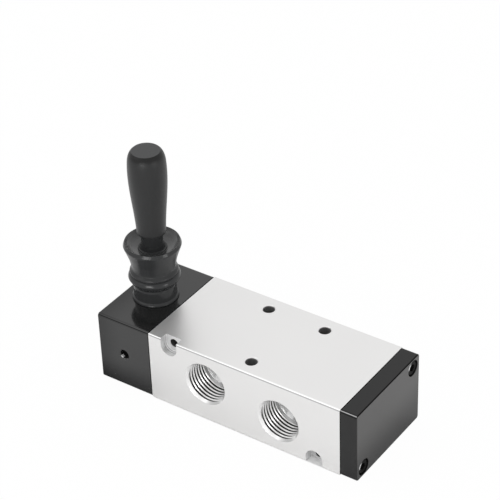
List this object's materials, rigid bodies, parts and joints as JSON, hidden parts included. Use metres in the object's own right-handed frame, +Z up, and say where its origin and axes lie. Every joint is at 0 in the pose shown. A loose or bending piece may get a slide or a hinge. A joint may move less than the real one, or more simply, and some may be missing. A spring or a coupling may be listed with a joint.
{
  "type": "hand lever air valve",
  "caption": "Pneumatic directional spool valve: aluminium block with threaded side ports, black end pieces and an upright hand lever in a rubber boot.",
  "frame": {"origin": "on the bottom face, under the middle of the whole length and width", "axes": "+X along the valve from the lever housing to the end cap, -Y towards the face with the work ports, +Z up along the lever"},
  "size_m": [0.1344, 0.0504, 0.1103],
  "materials": {
    "silver_aluminium": "satin",
    "black_anodised": "satin",
    "black_rubber": "matte",
    "boot_rubber": "gloss",
    "white_acetal": "satin",
    "black_steel": "satin",
    "turned_steel": "satin",
    "turned_brass": "satin",
    "turned_aluminium": "satin",
    "handle_plastic": "matte"
  },
  "bodies": {
    "housing": {"valve_body": "silver_aluminium", "lever_housing": "black_anodised", "end_cap": "black_anodised", "housing_gasket": "black_rubber", "cap_gasket": "black_rubber", "spool_guide": "white_acetal", "housing_screws": "black_steel", "cap_screws": "black_steel", "ball_seat": "white_acetal", "collar_nut": "turned_steel", "rubber_boot": "boot_rubber", "detent_screw": "turned_steel", "detent_spring": "turned_steel", "detent_ball": "turned_steel", "end_bumper": "black_rubber"},
    "lever": {"lever_rod": "turned_steel", "lever_handle": "handle_plastic", "handle_insert": "turned_brass"},
    "spool": {"spool": "turned_aluminium", "spool_seals": "black_rubber"}
  },
  "joints": [
    {"name": "lever_hinge", "type": "hinge", "parent": "housing", "child": "lever", "pos_m": [-0.0537, 0, 0.03], "axis": [0, 1, 0], "range_deg": [-15, 15], "deforming": ["rubber_boot"]},
    {"name": "spool_slide", "type": "slide", "parent": "housing", "child": "spool", "axis": [1, 0, 0], "range_m": [-0.00406, 0.00406]}
  ],
  "couplings": [
    {"joint": "spool_slide", "follows": "lever_hinge", "m_per_rad": -0.0155}
  ]
}
